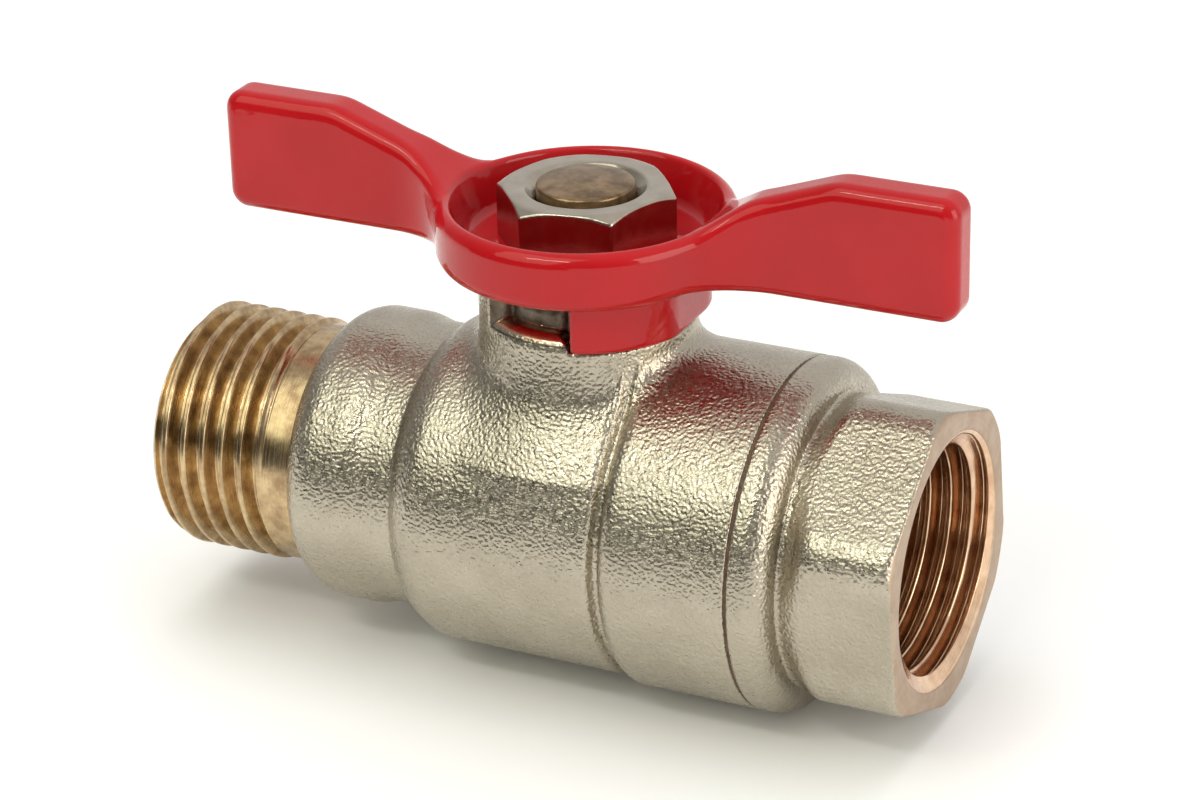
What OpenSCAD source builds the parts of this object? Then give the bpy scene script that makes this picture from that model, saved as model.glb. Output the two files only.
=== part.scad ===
// Ball valve with a butterfly handle: male pipe thread on -X, female pipe thread on +X, stem up +Z.
// The origin is where the stem axis crosses the pipe axis. Lengths are in millimetres.

/* [Pipe threads] */

// Radius over the crests of the pipe thread
pipe_major_r = 10.4775; // [10.2:0.0005:10.6]

// Height of the pipe thread from root to crest
pipe_thread_h = 1.162; // [1.0:0.001:1.3]

// Distance between neighbouring pipe thread crests
pipe_pitch = 1.814; // [1.7:0.001:1.9]

// Thread crests on the male end
male_turns = 6; // [5:1:6]

// Thread crests inside the female end
female_turns = 7; // [5:1:7]

/* [Body] */

// Distance from the stem axis to the male end face
male_end_x = 36.9; // [36.5:0.1:38]

// Distance from the stem axis to the shoulder behind the male thread
shoulder_x = 23.4; // [23:0.1:24]

// Radius of the rounded ring next to the male thread
ring_r = 12.5; // [12.3:0.05:13]

// Radius of the valley between the ring and the ball chamber
valley_r = 12.05; // [11.8:0.05:12.2]

// Outer radius of the ball chamber
chamber_r = 14.1; // [13.8:0.05:14.4]

// Outer radius of the threaded sleeve that takes the end connector
sleeve_r = 14.6; // [14.4:0.05:15]

// Distance from the stem axis to the seam between body and connector
seam_x = 18.1; // [18:0.1:18.3]

// Radius of the flow passage
flow_r = 7; // [6:0.1:7.2]

/* [End connector] */

// Distance from the stem axis to the female end face
female_end_x = 31.4; // [31:0.1:33]

// Hexagon size across flats
hex_af = 24.4; // [24:0.1:25]

// Turn of the hexagon about the pipe axis, set by where the thread pulled tight
hex_phase = 8; // [0:1:59]

/* [Ball and stem] */

// Radius of the ball
ball_r = 10.2; // [10:0.05:10.3]

// Radius of the hole through the ball
ball_bore_r = 6.5; // [5:0.1:6.6]

// Radius of the stem and of its thread
stem_r = 4; // [3.8:0.05:4]

// Height of the stem end above the pipe axis
stem_top_z = 28; // [27.8:0.1:28.4]

/* [Stem boss] */

// Outer radius of the stem boss
boss_r = 8.9; // [8.7:0.01:9]

// Height of the boss wall that stays full height
boss_top_z = 20.2; // [20:0.1:20.3]

// Height of the stop ledge
ledge_z = 17.9; // [17.6:0.1:18.4]

// Height of the floor that the handle skirt sweeps over
sweep_z = 16.7; // [16.4:0.1:16.8]

/* [Handle] */

// Outer radius of the handle hub
hub_r = 12.2; // [12:0.05:12.4]

// Height of the hub underside
hub_base_z = 21.4; // [21.2:0.05:21.6]

// Height of the hub rim
hub_top_z = 26.4; // [26:0.1:26.7]

// Height of the floor inside the hub
hub_floor_z = 22.8; // [22.7:0.05:22.9]

// Distance from the stem axis to a wing tip
wing_reach = 32.3; // [31:0.1:34]

// Thickness of a wing
wing_t = 4; // [3.6:0.1:4.4]

// Height of the wing tops
wing_top_z = 31.5; // [31:0.1:32]

// Handle travel from open to closed, in degrees
travel = 90; // [90:1:90]

/* [Handle nut] */

// Nut size across flats
nut_af = 13; // [12.8:0.05:13]

// Height of the nut top
nut_top_z = 27.5; // [27.4:0.1:27.6]

// Turn of the nut on its thread
nut_phase = 11; // [0:1:59]

/* [Hidden] */

$fn = 96;

// Extra length of a cutting shape past the face it cuts
past = 1;
// Radial gap of a running or sliding fit
run_gap = 0.05;
// Gap between faces that only lie against each other
face_gap = 0.05;

// Flank angle of the pipe thread, half of 55 degrees
pipe_flank = 27.5;
// Flank angle of the metric threads, half of 60 degrees
metric_flank = 30;
// Pitch and height of the fine threads in the body
fine_pitch = 1;
fine_thread_h = 0.54;
// Pitch and height of the stem thread
stem_pitch = 1.25;
stem_thread_h = 0.68;

pipe_minor_r = pipe_major_r - pipe_thread_h;

// Male end
male_thread_x = -male_end_x + 0.1;
male_thread_end_x = male_thread_x + male_turns * pipe_pitch;
male_lead_r = 9.2;
male_lead_l = 1.1;
male_land_r = 10.15;
mouth_chamfer = 0.8;

// Body profile
ring_edge_r = 3.2;
ring_right_x = -15.6;
ring_right_edge_r = 1.8;
chamber_left_x = -13.2;
chamber_left_edge_r = 4;
chamber_right_x = 6.2;
chamber_right_edge_r = 0.6;
sleeve_left_x = 6.9;
sleeve_left_edge_r = 1;
groove_r = 13.5;

// Body cavities
cavity_r = 11.3;
cavity_left_x = -7.2;
seat_pocket_r = 9.65;
seat_back_x = 10.35;
sleeve_thread_r = 12.3;
sleeve_thread_x = 8.6;
sleeve_turns = 9;
sleeve_relief_r = 12.45;

// Stem boss
flare_top_z = 16.4;
flare_arc_r = 15.3;
flare_r = 12.25;
flare_base_z = 3;
collar_wall_r = 7;
ledge_wall_r = 7.1;
stop_angle = -75;
ledge_angle = 238;
skirt_start = -73;
skirt_span = 101;
wall_angle = skirt_start + skirt_span + travel + 2;
gland_thread_r = 6;
gland_turns = 3;
gland_base_z = 17;
packing_r = 5.35;
packing_base_z = 14;
pocket_r = 5.7;
pocket_roof_z = 12.8;
stem_hole_r = stem_r + 0.06;

// Connector
flange_right_x = 21.4;
flange_edge_r = 2.2;
flange_r = 14.6;
flange_gap = 0.25;
neck_r = 12;
hex_left_x = 22.3;
hex_trim_r = 13.5;
hex_trim_left_r = 12;
hex_trim_left_l = 1.7;
hex_trim_face_r = 12.95;
hex_trim_face_l = 0.5;
spigot_left_x = 7;
spigot_nose_r = 11.2;
spigot_nose_x = 8.7;
female_mouth_r = 10.85;
female_mouth_l = 0.8;
female_bottom_x = 17.9;

// Seat rings
seat_inner_r = 6.9;
seat_outer_r = 9.6;
seat_face_x = 5.8;

// Ball
ball_flat_x = 7.4;
ball_slot_w = 5.1;
ball_slot_z = 7.4;

// Stem
tang_w = 5;
tang_l = 8;
tang_base_z = 7.6;
stem_collar_r = 5.5;
stem_collar_base_z = 10.5;
stem_collar_top_z = 11.9;
stem_flat_base_z = 20.4;
stem_flats = 6.4;
stem_turns = 4;
stem_end_chamfer = 0.5;

// Handle
recess_rim_r = 11.05;
recess_floor_r = 9.9;
skirt_inner_r = 7.3;
skirt_outer_r = 10;
skirt_base_z = 17;
skirt_flat_x = 9.3;
wing_base_z = 21.2;
wing_shoulder_x = 22;
wing_bend_x = 14.8;
wing_bend_z = 28.9;
wing_root_x = 11;
wing_corner_r = 1.6;
wing_fillet_r = 7;
wing_fillet_y = wing_t / 2 + wing_fillet_r;
wing_fillet_x = sqrt(pow(hub_r + wing_fillet_r, 2) - pow(wing_fillet_y, 2));

// Nut
nut_crown_r = 6.55;

// Turns a shape made around Z so that it lies around the pipe axis X
module along_pipe() {
    rotate([0, 90, 0]) children();
}

// Half section, radius along X and length along Y, of stacked thread crests on a solid core
module thread_section(major, height, pitch, flank, turns) {
    slope = height * tan(flank);
    flat = (pitch - 2 * slope) / 2;
    minor = major - height;
    rows = [for (i = [0 : turns - 1]) each [
        [minor, i * pitch + flat / 2],
        [major, i * pitch + flat / 2 + slope],
        [major, (i + 1) * pitch - flat / 2 - slope],
        [minor, (i + 1) * pitch - flat / 2]
    ]];
    polygon(concat([[0, 0], [minor, 0]], rows, [[minor, turns * pitch], [0, turns * pitch]]));
}

// Half section of a solid band from y0 to y1 with rounded outer corners
module band_section(r, y0, y1, edge0, edge1) {
    translate([0, y0 + edge0]) square([r, y1 - y0 - edge0 - edge1]);
    intersection() {
        translate([0, y0]) square([r, y1 - y0]);
        union() {
            if (edge0 > 0) {
                translate([0, y0]) square([r - edge0, 2 * edge0]);
                translate([r - edge0, y0 + edge0]) circle(r = edge0);
            }
            if (edge1 > 0) {
                translate([0, y1 - 2 * edge1]) square([r - edge1, 2 * edge1]);
                translate([r - edge1, y1 - edge1]) circle(r = edge1);
            }
        }
    }
}

// Sector of a ring about the stem axis
module ring_sector(inner, outer, z0, z1, start, span) {
    rotate([0, 0, start])
        rotate_extrude(angle = span)
            translate([inner, z0]) square([outer - inner, z1 - z0]);
}

// Outside of the body about the pipe axis
module body_outside() {
    along_pipe() rotate_extrude() {
        intersection() {
            translate([0, male_thread_x])
                thread_section(pipe_major_r, pipe_thread_h, pipe_pitch, pipe_flank, male_turns);
            polygon([
                [0, -male_end_x], [male_lead_r, -male_end_x],
                [pipe_major_r, -male_end_x + male_lead_l],
                [pipe_major_r, -shoulder_x], [0, -shoulder_x]
            ]);
        }
        translate([0, -male_end_x]) square([male_lead_r, past]);
        translate([0, male_thread_end_x]) square([male_land_r, past - shoulder_x - male_thread_end_x]);
        band_section(ring_r, -shoulder_x, ring_right_x, ring_edge_r, ring_right_edge_r);
        translate([0, ring_right_x - past]) square([valley_r, chamber_left_x - ring_right_x + 2 * past]);
        band_section(chamber_r, chamber_left_x, chamber_right_x, chamber_left_edge_r, chamber_right_edge_r);
        translate([0, chamber_right_x - past]) square([groove_r, sleeve_left_x - chamber_right_x + 2 * past]);
        band_section(sleeve_r, sleeve_left_x, seam_x, sleeve_left_edge_r, 0);
    }
}

// Boss around the stem, flared where it joins the ball chamber
module boss_outside() {
    cylinder(r = boss_r, h = boss_top_z);
    rotate_extrude() difference() {
        translate([0, flare_base_z]) square([flare_r, flare_top_z - flare_base_z]);
        translate([boss_r + flare_arc_r, flare_top_z]) circle(r = flare_arc_r);
    }
}

// Everything that is bored out of the body along the pipe axis
module body_bore() {
    along_pipe() {
        translate([0, 0, -male_end_x - past]) cylinder(r = flow_r, h = male_end_x);
        translate([0, 0, -male_end_x]) cylinder(r1 = flow_r + mouth_chamfer, r2 = flow_r, h = mouth_chamfer);
        translate([0, 0, -seat_back_x]) cylinder(r = seat_pocket_r, h = seat_back_x);
        translate([0, 0, cavity_left_x]) cylinder(r = cavity_r, h = seam_x - cavity_left_x);
        translate([0, 0, sleeve_thread_x]) rotate_extrude()
            thread_section(sleeve_thread_r, fine_thread_h, fine_pitch, metric_flank, sleeve_turns);
        translate([0, 0, sleeve_thread_x + sleeve_turns * fine_pitch])
            cylinder(r = sleeve_relief_r, h = past);
    }
}

// Stem hole, collar pocket, packing chamber and gland thread
module stem_bore() {
    cylinder(r = pocket_r, h = pocket_roof_z);
    cylinder(r = stem_hole_r, h = boss_top_z);
    translate([0, 0, packing_base_z]) cylinder(r = packing_r, h = boss_top_z);
    translate([0, 0, gland_base_z]) rotate_extrude()
        thread_section(gland_thread_r, fine_thread_h, fine_pitch, metric_flank, gland_turns + 1);
}

// Clearance for the handle skirt, which leaves a stop ledge and a full-height wall
module skirt_sweep() {
    rim = boss_r + past;
    top = boss_top_z + past;
    overlap = 5;
    ledge_span = 360 + stop_angle - ledge_angle + overlap;
    ring_sector(collar_wall_r, rim, sweep_z, top, stop_angle, wall_angle - stop_angle);
    ring_sector(ledge_wall_r, rim, ledge_z, top, ledge_angle, ledge_span);
}

// Forged body with the male thread
module body() {
    color("silver") difference() {
        union() {
            body_outside();
            boss_outside();
        }
        body_bore();
        stem_bore();
        skirt_sweep();
    }
}

// Hexagon of the connector with its corners trimmed round
module connector_hex() {
    intersection() {
        along_pipe() translate([0, 0, hex_left_x]) rotate([0, 0, hex_phase])
            cylinder(r = hex_af / sqrt(3), h = female_end_x - hex_left_x, $fn = 6);
        along_pipe() rotate_extrude() polygon([
            [0, hex_left_x], [hex_trim_left_r, hex_left_x],
            [hex_trim_r, hex_left_x + hex_trim_left_l],
            [hex_trim_r, female_end_x - hex_trim_face_l],
            [hex_trim_face_r, female_end_x], [0, female_end_x]
        ]);
    }
}

// End connector: threaded spigot, flange, hexagon and female thread
module end_connector() {
    spigot_thread_r = sleeve_thread_r - run_gap;
    color("gainsboro") difference() {
        union() {
            connector_hex();
            along_pipe() rotate_extrude() {
                translate([0, spigot_left_x]) square([spigot_nose_r, flange_right_x - spigot_left_x]);
                translate([0, sleeve_thread_x + fine_pitch]) thread_section(
                    spigot_thread_r, fine_thread_h, fine_pitch, metric_flank, sleeve_turns - 1);
                band_section(flange_r, seam_x + flange_gap, flange_right_x, 0, flange_edge_r);
                translate([0, flange_right_x - past])
                    square([neck_r, hex_left_x - flange_right_x + 2 * past]);
            }
            along_pipe() translate([0, 0, spigot_nose_x])
                cylinder(r = spigot_thread_r - fine_thread_h, h = flange_right_x - spigot_nose_x);
        }
        along_pipe() {
            translate([0, 0, spigot_left_x - past])
                cylinder(r = seat_pocket_r, h = seat_back_x - spigot_left_x + past);
            cylinder(r = flow_r, h = female_end_x);
            translate([0, 0, female_bottom_x]) cylinder(r = pipe_minor_r, h = female_end_x);
            translate([0, 0, female_end_x - female_turns * pipe_pitch]) rotate_extrude()
                thread_section(pipe_major_r, pipe_thread_h, pipe_pitch, pipe_flank, female_turns);
            translate([0, 0, female_end_x - female_mouth_l])
                cylinder(r1 = pipe_minor_r, r2 = female_mouth_r, h = female_mouth_l);
        }
    }
}

// Cured sealant in the seam between body and connector
module joint_sealant() {
    recess = 0.15;
    color("saddlebrown") along_pipe() translate([0, 0, seam_x]) difference() {
        cylinder(r = sleeve_r - recess, h = flange_gap);
        translate([0, 0, -past]) cylinder(r = sleeve_relief_r, h = flange_gap + 2 * past);
    }
}

// Ball with its flow hole and the slot that the stem tang turns
module ball() {
    color("lightsteelblue") difference() {
        intersection() {
            sphere(r = ball_r);
            cube([2 * ball_flat_x, 2 * ball_r + past, 2 * ball_r + past], center = true);
        }
        along_pipe() translate([0, 0, -ball_r]) cylinder(r = ball_bore_r, h = 2 * ball_r);
        translate([-ball_slot_w / 2, -ball_r, ball_slot_z]) cube([ball_slot_w, 2 * ball_r, ball_r]);
    }
}

// Seat ring against the ball, drawn on the +X side
module seat_ring() {
    difference() {
        along_pipe() translate([0, 0, seat_face_x]) difference() {
            cylinder(r = seat_outer_r, h = seat_back_x - seat_face_x - face_gap);
            translate([0, 0, -past]) cylinder(r = seat_inner_r, h = seat_back_x);
        }
        sphere(r = ball_r + run_gap);
    }
}

module seat_ring_male_side() {
    color("white") mirror([1, 0, 0]) seat_ring();
}

module seat_ring_female_side() {
    color("white") seat_ring();
}

// Stem, fitted from inside, so that its collar can't pass the stem hole
module stem() {
    thread_l = stem_top_z - hub_floor_z;
    color("peru") {
        intersection() {
            translate([-tang_w / 2, -tang_l / 2, tang_base_z])
                cube([tang_w, tang_l, stem_collar_base_z - tang_base_z + face_gap]);
            cylinder(r = stem_collar_r, h = stem_top_z);
        }
        translate([0, 0, stem_collar_base_z])
            cylinder(r = stem_collar_r, h = stem_collar_top_z - stem_collar_base_z);
        translate([0, 0, stem_collar_base_z])
            cylinder(r = stem_r, h = stem_flat_base_z - stem_collar_base_z);
        intersection() {
            translate([0, 0, stem_collar_top_z])
                cylinder(r = stem_r, h = hub_floor_z - stem_collar_top_z);
            translate([-stem_flats / 2, -stem_r, stem_flat_base_z - face_gap])
                cube([stem_flats, 2 * stem_r, hub_floor_z - stem_flat_base_z + face_gap]);
        }
        translate([0, 0, hub_floor_z]) intersection() {
            rotate_extrude() {
                thread_section(stem_r, stem_thread_h, stem_pitch, metric_flank, stem_turns);
                square([stem_r - stem_thread_h, thread_l]);
            }
            cylinder(r1 = stem_r + thread_l - stem_end_chamfer, r2 = stem_r - stem_end_chamfer, h = thread_l);
        }
    }
}

// Low-friction washer between the stem collar and the roof of its pocket
module stem_thrust_washer() {
    color("ivory") translate([0, 0, stem_collar_top_z + face_gap]) difference() {
        cylinder(r = stem_collar_r, h = pocket_roof_z - stem_collar_top_z - 2 * face_gap);
        translate([0, 0, -past]) cylinder(r = stem_hole_r, h = pocket_roof_z);
    }
}

// One ring of stem packing between two heights
module packing_ring(z0, z1) {
    translate([0, 0, z0 + face_gap]) difference() {
        cylinder(r = packing_r - run_gap, h = z1 - z0 - 2 * face_gap);
        translate([0, 0, -past]) cylinder(r = stem_r + run_gap, h = z1);
    }
}

module packing_ring_lower() {
    color("ivory") packing_ring(packing_base_z, (packing_base_z + gland_base_z) / 2);
}

module packing_ring_upper() {
    color("white") packing_ring((packing_base_z + gland_base_z) / 2, gland_base_z);
}

// Gland nut that presses the packing down, with two spanner slots
module gland_nut() {
    slot_w = 1.4;
    slot_h = 0.9;
    color("goldenrod") translate([0, 0, gland_base_z]) difference() {
        rotate_extrude()
            thread_section(gland_thread_r - run_gap, fine_thread_h, fine_pitch, metric_flank, gland_turns);
        translate([0, 0, -past]) cylinder(r = stem_r + 2 * run_gap, h = gland_turns * fine_pitch + 2 * past);
        translate([-gland_thread_r, -slot_w / 2, gland_turns * fine_pitch - slot_h])
            cube([2 * gland_thread_r, slot_w, slot_h + past]);
    }
}

// Side outline of both wings and the hub between them
module wing_outline() {
    corner = wing_corner_r;
    for (side = [-1, 1]) scale([side, 1]) {
        polygon([
            [0, hub_base_z], [wing_root_x, hub_base_z], [wing_bend_x, wing_base_z],
            [wing_reach - corner, wing_base_z], [wing_reach, wing_base_z + corner],
            [wing_reach, wing_top_z - corner], [wing_reach - corner, wing_top_z],
            [wing_shoulder_x, wing_top_z], [wing_bend_x, wing_bend_z],
            [wing_root_x, hub_top_z], [0, hub_top_z]
        ]);
        translate([wing_reach - corner, wing_top_z - corner]) circle(r = corner);
        translate([wing_reach - corner, wing_base_z + corner]) circle(r = corner);
    }
}

// Plan of the handle: hub disc and wings joined by hollow fillets
module handle_plan() {
    touch = hub_r / (hub_r + wing_fillet_r);
    circle(r = hub_r);
    for (side = [-1, 1]) scale([side, 1]) {
        translate([0, -wing_t / 2]) square([wing_reach, wing_t]);
        difference() {
            polygon([
                [0, wing_fillet_y * touch], [wing_fillet_x * touch, wing_fillet_y * touch],
                [wing_fillet_x, wing_t / 2], [wing_fillet_x, -wing_t / 2],
                [wing_fillet_x * touch, -wing_fillet_y * touch], [0, -wing_fillet_y * touch]
            ]);
            for (front = [-1, 1])
                translate([wing_fillet_x, front * wing_fillet_y]) circle(r = wing_fillet_r);
        }
    }
}

// Die-cast butterfly handle with its recessed hub and the skirt that meets the stops
module handle() {
    color("crimson") difference() {
        union() {
            intersection() {
                translate([0, 0, wing_base_z - past])
                    linear_extrude(height = wing_top_z - wing_base_z + 2 * past) handle_plan();
                rotate([90, 0, 0]) translate([0, 0, -hub_r - past])
                    linear_extrude(height = 2 * hub_r + 2 * past) wing_outline();
            }
            intersection() {
                ring_sector(skirt_inner_r, skirt_outer_r, skirt_base_z, hub_base_z + past,
                            skirt_start, skirt_span);
                translate([-hub_r, -hub_r, 0]) cube([hub_r + skirt_flat_x, 2 * hub_r, hub_top_z]);
            }
        }
        translate([0, 0, hub_floor_z])
            cylinder(r1 = recess_floor_r, r2 = recess_rim_r, h = hub_top_z - hub_floor_z);
        translate([0, 0, hub_top_z - face_gap]) cylinder(r = recess_rim_r, h = wing_top_z);
        intersection() {
            cylinder(r = stem_r + run_gap, h = hub_top_z);
            translate([-stem_flats / 2 - run_gap, -hub_r, 0])
                cube([stem_flats + 2 * run_gap, 2 * hub_r, hub_top_z]);
        }
    }
}

// Hexagon nut that holds the handle on the stem
module handle_nut() {
    height = nut_top_z - hub_floor_z;
    countersink = 1;
    color("lightgray") translate([0, 0, hub_floor_z]) difference() {
        intersection() {
            rotate([0, 0, nut_phase]) cylinder(r = nut_af / sqrt(3), h = height, $fn = 6);
            cylinder(r1 = nut_crown_r + height / tan(metric_flank), r2 = nut_crown_r, h = height);
        }
        rotate_extrude()
            thread_section(stem_r + run_gap, stem_thread_h, stem_pitch, metric_flank, stem_turns);
        translate([0, 0, -past]) cylinder(r = stem_r + run_gap - stem_thread_h, h = height + 2 * past);
        translate([0, 0, height - countersink])
            cylinder(r1 = stem_r, r2 = stem_r + countersink, h = countersink);
    }
}

body();
end_connector();
joint_sealant();
ball();
seat_ring_male_side();
seat_ring_female_side();
stem();
stem_thrust_washer();
packing_ring_lower();
packing_ring_upper();
gland_nut();
handle();
handle_nut();
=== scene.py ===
"""Looks of the ball valve: a plated and blasted body, raw brass threads and a red die-cast handle.

The detailed pieces are level sets: each is a formula for the distance to its surface, in millimetres,
which is turned into a mesh. The pipe runs along X and the stem along Z, as in the CAD frame.
"""
import math

import bpy
import numpy as np
import openvdb
from mathutils import Matrix, Vector


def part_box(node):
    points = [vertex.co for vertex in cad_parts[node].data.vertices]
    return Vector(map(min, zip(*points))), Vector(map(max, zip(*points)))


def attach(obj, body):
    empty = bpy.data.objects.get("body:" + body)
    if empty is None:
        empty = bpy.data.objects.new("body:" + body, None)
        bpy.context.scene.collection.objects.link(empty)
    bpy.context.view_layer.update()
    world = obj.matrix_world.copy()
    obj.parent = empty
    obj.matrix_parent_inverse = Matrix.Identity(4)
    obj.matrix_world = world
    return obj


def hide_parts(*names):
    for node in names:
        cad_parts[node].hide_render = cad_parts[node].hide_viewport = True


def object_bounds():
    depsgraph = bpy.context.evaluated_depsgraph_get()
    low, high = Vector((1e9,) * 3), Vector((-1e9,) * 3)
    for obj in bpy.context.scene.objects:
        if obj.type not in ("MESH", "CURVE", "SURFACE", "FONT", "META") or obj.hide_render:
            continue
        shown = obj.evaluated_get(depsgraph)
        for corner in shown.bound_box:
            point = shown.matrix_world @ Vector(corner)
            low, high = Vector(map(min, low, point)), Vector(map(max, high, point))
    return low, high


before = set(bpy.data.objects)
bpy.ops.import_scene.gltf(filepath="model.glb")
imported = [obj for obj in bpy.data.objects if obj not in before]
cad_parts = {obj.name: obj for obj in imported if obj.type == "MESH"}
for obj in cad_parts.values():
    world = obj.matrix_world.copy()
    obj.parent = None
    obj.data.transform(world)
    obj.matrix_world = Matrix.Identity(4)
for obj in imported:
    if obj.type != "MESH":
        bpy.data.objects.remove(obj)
cad_low, cad_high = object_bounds()

MM = 0.001


def node_box(node):
    """Lowest and highest corner of a CAD node, in millimetres."""
    low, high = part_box(node)
    return np.array(low) / MM, np.array(high) / MM


body_low, body_high = node_box("body")
connector_low, connector_high = node_box("end_connector")
handle_low, handle_high = node_box("handle")
nut_low, nut_high = node_box("handle_nut")
stem_low, stem_high = node_box("stem")

# ---------------------------------------------------------------- level set tools


def rounded_and(a, b, edge):
    """Inside both shapes, with their common edge rounded."""
    u, v = a + edge, b + edge
    return np.minimum(np.maximum(u, v), 0) + np.hypot(np.maximum(u, 0), np.maximum(v, 0)) - edge


def rounded_or(a, b, fillet):
    """Inside either shape, with a hollow fillet between them."""
    return -rounded_and(-a, -b, fillet)


def band(rho, x, r, x0, x1, edge0, edge1):
    """Solid band of radius r from x0 to x1 with rounded edges."""
    return np.maximum(rounded_and(rho - r, x0 - x, edge0), rounded_and(rho - r, x - x1, edge1))


def bore(rho, x, r, x0, x1):
    """Straight round hole of radius r from x0 to x1."""
    return np.maximum(rho - r, np.maximum(x0 - x, x - x1))


def cone(rho, from_end, end_r, length, rise):
    """Distance outside a cone of radius end_r at its end that widens by rise over a length, inwards."""
    return ((rho - end_r) * length - from_end * rise) / math.hypot(length, rise)


def profile_distance(rho, x, stations, radii):
    """Distance to a surface of revolution whose radius is given along its axis."""
    slope = np.interp(x, stations, np.gradient(radii, stations))
    return (rho - np.interp(x, stations, radii)) / np.sqrt(1 + slope * slope)


def softened(stations, values, width):
    """A curve with its corners softened over a width."""
    step = stations[1] - stations[0]
    n = max(3, 2 * int(width / step / 2) + 1)
    window = np.hanning(n + 2)[1:-1]
    padded = np.pad(values, n // 2, mode="edge")
    return np.convolve(padded, window / window.sum(), mode="valid")


def side_of(angle):
    """Unit vector square to a ray from the stem axis, on its anticlockwise side."""
    a = math.radians(angle)
    return -math.sin(a), math.cos(a)


def thread_radius(major, height, pitch, flank, along, turn):
    """Radius of a right-hand thread with slightly rounded crests and roots."""
    phase = along / pitch - turn / (2 * math.pi)
    off_crest = np.abs(phase - np.floor(phase) - 0.5) * pitch
    slope = height * math.tan(math.radians(flank))
    flat = (pitch - 2 * slope) / 2
    t = np.clip((off_crest - flat / 2) / slope, 0, 1)
    return major - height * (0.5 * t + 0.5 * t * t * (3 - 2 * t))


def new_object(name, points, quads, body, node, materials):
    """A detailed piece in place of a CAD node, riding on that node's body."""
    mesh = bpy.data.meshes.new(name)
    mesh.from_pydata((points * MM).tolist(), [], quads.tolist())
    for material in materials:
        mesh.materials.append(material)
    mesh.shade_smooth()
    made = bpy.data.objects.new(name, mesh)
    bpy.context.scene.collection.objects.link(made)
    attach(made, body)
    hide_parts(node)
    return made


MARGIN, BAND = 2.5, 3  # voxels round the box, and voxels kept on each side of the surface
SETTLING, PROBE_PART, MOVE_PART, FLATTEST = 3, 8, 3, 0.05


def level_set(field, low, high, voxel):
    """Points and quads of the surface where the field is zero, over a box in millimetres.

    OpenVDB makes the quads, and then each point moves onto the exact surface in a few rounds.
    """
    start = np.array(low, float) - MARGIN * voxel
    axes = [np.arange(a, b + MARGIN * voxel, voxel, dtype=np.float32) for a, b in zip(start, high)]
    x, y, z = np.meshgrid(*axes, indexing="ij", sparse=True)
    values = np.ascontiguousarray(np.broadcast_to(field(x, y, z), [len(a) for a in axes]), np.float32)
    reach = BAND * voxel
    grid = openvdb.FloatGrid(reach)
    grid.copyFromArray(np.clip(values, -reach, reach))
    points, quads = grid.convertToQuads(isovalue=0)
    points = points.astype(float) * voxel + np.array([a[0] for a in axes])
    delta = voxel / PROBE_PART
    for _ in range(SETTLING):
        here = field(*points.T)
        slope = np.stack([
            field(*(points + step).T) - field(*(points - step).T) for step in np.eye(3) * delta
        ], axis=1) / (2 * delta)
        move = here[:, None] * slope / np.maximum((slope * slope).sum(1), FLATTEST)[:, None]
        points -= np.clip(move, -voxel / MOVE_PART, voxel / MOVE_PART)
    return points, quads


def rings_mesh(loops):
    """Points and quads of rings joined one to the next, and the last to the first."""
    m, n, _ = loops.shape
    i, j = np.meshgrid(np.arange(m), np.arange(n), indexing="ij")
    here, ahead, beside = i * n, (i + 1) % m * n, (j + 1) % n
    quads = np.stack([here + j, here + beside, ahead + beside, ahead + j], -1)
    points, quads = loops.reshape(-1, 3), quads.reshape(-1, 4)
    corners = points[quads]
    area = np.cross(corners[:, 2] - corners[:, 0], corners[:, 3] - corners[:, 1])
    if (corners.mean(1) * area).sum() < 0:
        quads = quads[:, ::-1]
    return points, quads


def pipe_ring(x, radius, turn):
    """A ring of points round the pipe axis."""
    return np.stack([np.full_like(turn, x), radius * np.cos(turn), radius * np.sin(turn)], -1)


def joined(*parts):
    """Several meshes as one."""
    points = np.concatenate([p for p, _ in parts])
    starts = np.cumsum([0] + [len(p) for p, _ in parts[:-1]])
    return points, np.concatenate([q.astype(np.int64) + s for (_, q), s in zip(parts, starts)])


def face_facts(points, quads):
    """Centres and unit normals of the faces."""
    corners = points[quads]
    normal = np.cross(corners[:, 2] - corners[:, 0], corners[:, 3] - corners[:, 1])
    return corners.mean(1), normal / np.maximum(np.linalg.norm(normal, axis=1), 1e-12)[:, None]


def paint_faces(made, index):
    """Gives each face the number of its material."""
    made.data.polygons.foreach_set("material_index", index.astype(np.int32))
    made.data.update()


# ---------------------------------------------------------------- materials


def material(name, **sockets):
    """A material with its shader's own values set, and its node tree."""
    made = bpy.data.materials.new(name)
    made.use_nodes = True
    shader = made.node_tree.nodes["Principled BSDF"]
    for socket, value in sockets.items():
        shader.inputs[socket.replace("_", " ")].default_value = value
    return made, made.node_tree, shader


def add(tree, kind, **values):
    """A new node with its sockets or settings filled in."""
    node = tree.nodes.new(kind)
    for key, value in values.items():
        if key in node.inputs:
            node.inputs[key].default_value = value
        else:
            setattr(node, key, value)
    return node


def surface_point(tree, axis=None):
    """Object coordinates. With an axis they don't change round it, which makes turning marks of noise."""
    point = add(tree, "ShaderNodeTexCoord").outputs["Object"]
    if axis is None:
        return point
    apart = add(tree, "ShaderNodeSeparateXYZ")
    tree.links.new(point, apart.inputs[0])
    flat = add(tree, "ShaderNodeCombineXYZ")
    across = [letter for letter in ("X", "Y", "Z") if letter != axis]
    for socket, source in zip(("X", "Y"), across):
        tree.links.new(apart.outputs[source], flat.inputs[socket])
    radius = add(tree, "ShaderNodeVectorMath", operation="LENGTH")
    tree.links.new(flat.outputs[0], radius.inputs[0])
    out = add(tree, "ShaderNodeCombineXYZ")
    tree.links.new(radius.outputs["Value"], out.inputs["X"])
    tree.links.new(apart.outputs[axis], out.inputs["Y"])
    return out.outputs[0]


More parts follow.
